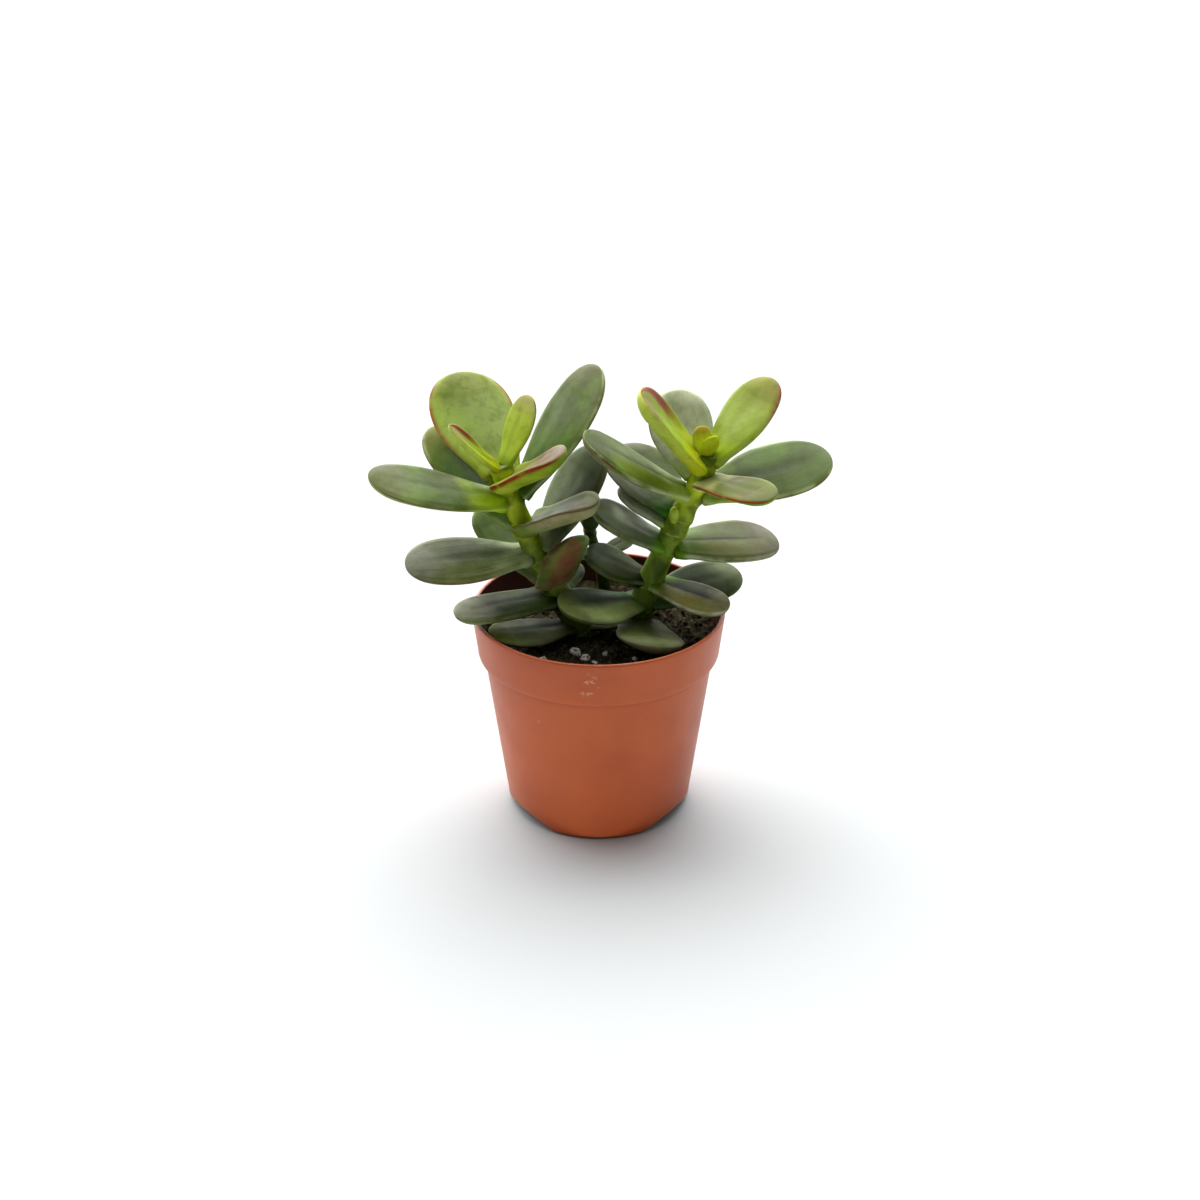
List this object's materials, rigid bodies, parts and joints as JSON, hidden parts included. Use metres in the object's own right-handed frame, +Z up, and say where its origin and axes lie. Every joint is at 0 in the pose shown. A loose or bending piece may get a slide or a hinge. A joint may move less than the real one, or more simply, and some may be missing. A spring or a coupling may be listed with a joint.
{
  "type": "potted jade plant",
  "caption": "Young jade plant: fleshy shoots with opposite pairs of thick oval leaves, in a round tapered nursery pot with a wide collar, filled with peat.",
  "frame": {"origin": "middle of the pot's underside, on the surface it stands on", "axes": "+Z up, -Y towards the front, the side from which the two large shoots stand left and right"},
  "size_m": [0.0983, 0.055, 0.0995],
  "materials": {
    "pot_plastic": "satin",
    "peat": "matte",
    "perlite": "matte",
    "stem": "satin",
    "leaf_young": "satin",
    "leaf": "satin",
    "leaf_old": "satin"
  },
  "bodies": {
    "root": {"pot": "pot_plastic", "soil": "peat", "perlite_1": "perlite", "perlite_2": "perlite", "perlite_3": "perlite", "perlite_4": "perlite", "perlite_5": "perlite", "perlite_6": "perlite", "stem_left": "stem", "leaf_left_1a": "leaf_old", "leaf_left_1b": "leaf_old", "leaf_left_2a": "leaf_old", "leaf_left_2b": "leaf_old", "leaf_left_3a": "leaf_old", "leaf_left_3b": "leaf_old", "leaf_left_4a": "leaf_old", "leaf_left_4b": "leaf_old", "leaf_left_5a": "leaf", "leaf_left_5b": "leaf", "leaf_left_6a": "leaf", "leaf_left_6b": "leaf", "leaf_left_7a": "leaf_young", "leaf_left_7b": "leaf_young", "leaf_left_8a": "leaf_young", "leaf_left_8b": "leaf_young", "stem_right": "stem", "leaf_right_1a": "leaf_old", "leaf_right_1b": "leaf_old", "leaf_right_2a": "leaf_old", "leaf_right_2b": "leaf_old", "leaf_right_3a": "leaf_old", "leaf_right_3b": "leaf_old", "leaf_right_4a": "leaf_old", "leaf_right_4b": "leaf_old", "leaf_right_5a": "leaf", "leaf_right_6a": "leaf", "leaf_right_7a": "leaf", "leaf_right_7b": "leaf", "leaf_right_8a": "leaf", "leaf_right_8b": "leaf", "leaf_right_9a": "leaf_young", "leaf_right_9b": "leaf_young", "leaf_right_10a": "leaf_young", "leaf_right_10b": "leaf_young", "stem_middle": "stem", "leaf_middle_1a": "leaf_old", "leaf_middle_1b": "leaf_old", "leaf_middle_2a": "leaf_old", "leaf_middle_2b": "leaf_old"}
  },
  "joints": []
}
